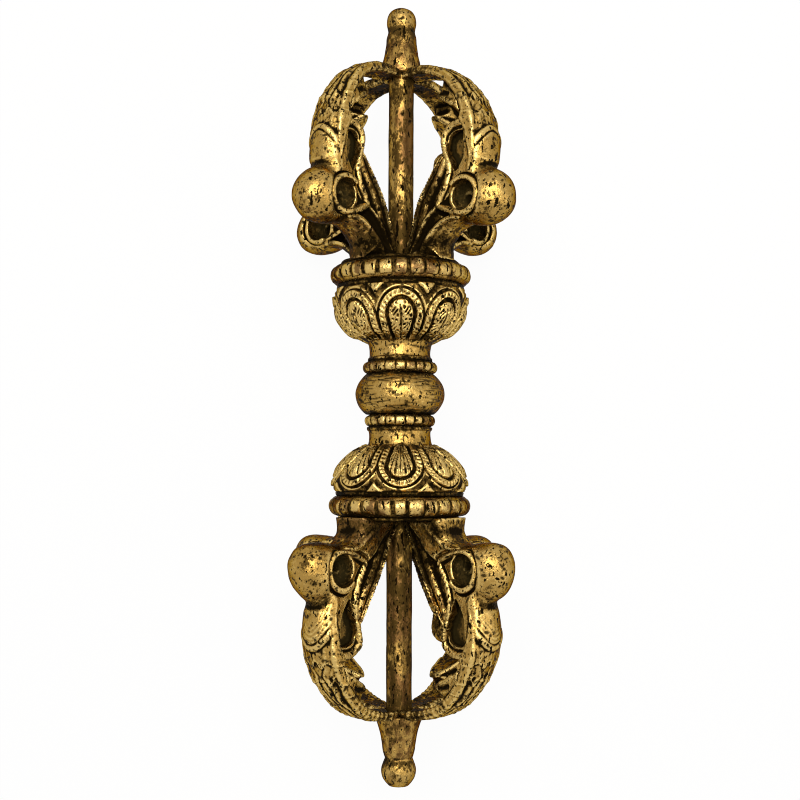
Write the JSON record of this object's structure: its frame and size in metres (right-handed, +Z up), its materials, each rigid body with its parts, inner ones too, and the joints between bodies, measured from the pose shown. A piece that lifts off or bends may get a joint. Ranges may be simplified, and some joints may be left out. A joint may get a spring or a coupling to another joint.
{
  "type": "dorje vajra",
  "caption": "Cast-brass five-pronged dorje: beaded grip bulb, lotus cups, sea-beast prongs around a centre rod and a finial at each end",
  "frame": {"origin": "middle of the grip bulb, which is the middle of the dorje's box", "axes": "+X along the dorje towards the end that is at the top of the picture, +Z up from the table it lies on, +Y to the left seen from above with +X away"},
  "size_m": [0.15, 0.0408, 0.0408],
  "materials": {
    "prong_brass": "aged cast brass, worn bright on high spots, dark in the hollows",
    "hub_brass": "aged cast brass with dark carved lines",
    "rod_brass": "drawn rod, browned",
    "dark_brass": "turned, browned"
  },
  "bodies": {
    "root": {"spindle": "rod_brass", "grip_bulb": "hub_brass", "upper_collar": "hub_brass", "upper_neck": "hub_brass", "upper_lotus_cup": "hub_brass", "upper_rim_ring": "hub_brass", "upper_prong_seat": "hub_brass", "upper_prong_1": "prong_brass", "upper_prong_2": "prong_brass", "upper_prong_3": "prong_brass", "upper_prong_4": "prong_brass", "upper_finial": "dark_brass", "lower_collar": "hub_brass", "lower_neck": "hub_brass", "lower_lotus_cup": "hub_brass", "lower_rim_ring": "hub_brass", "lower_prong_seat": "hub_brass", "lower_prong_1": "prong_brass", "lower_prong_2": "prong_brass", "lower_prong_3": "prong_brass", "lower_prong_4": "prong_brass", "lower_finial": "dark_brass"}
  },
  "joints": []
}
